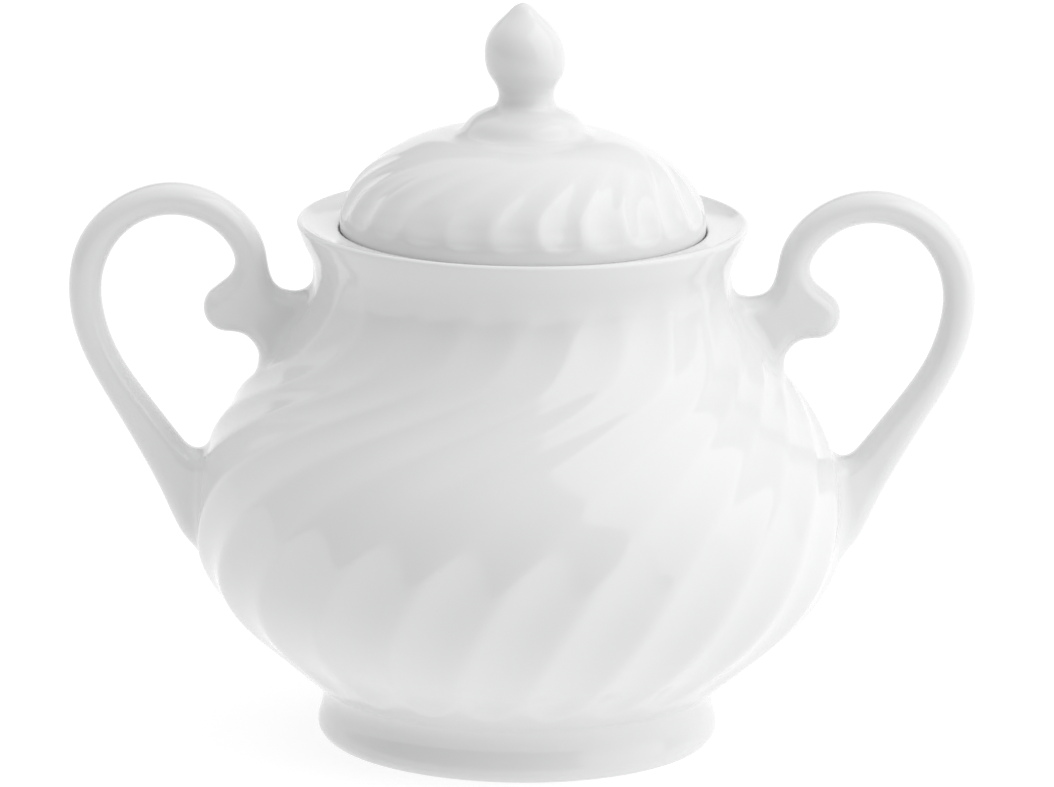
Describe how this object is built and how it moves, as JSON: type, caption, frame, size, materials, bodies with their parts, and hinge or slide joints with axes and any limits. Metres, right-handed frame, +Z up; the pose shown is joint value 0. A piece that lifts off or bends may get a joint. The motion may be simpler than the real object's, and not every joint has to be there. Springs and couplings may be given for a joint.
{
  "type": "sugar bowl",
  "caption": "Lidded porcelain sugar bowl: swirl-fluted round belly, flared lip, foot ring, two scroll handles, and a domed lid with a bud knob that lifts off to reach the sugar.",
  "frame": {"origin": "centre of the foot's resting plane", "axes": "+Z up through the lid knob, +X towards the right handle, +Y away from the viewer"},
  "size_m": [0.1458, 0.1054, 0.1209],
  "materials": {
    "white_glaze": "gloss",
    "bare_biscuit": "matte"
  },
  "bodies": {
    "bowl": {"bowl_body": "white_glaze", "foot_ring": "white_glaze", "right_handle": "white_glaze", "left_handle": "white_glaze"},
    "lid": {"lid_dome": "white_glaze", "lid_locating_ring": "bare_biscuit", "lid_knob": "white_glaze"}
  },
  "joints": [
    {"name": "lid_lift", "type": "slide", "parent": "bowl", "child": "lid", "axis": [0, 0, 1], "range_m": [0, 0.08]}
  ]
}
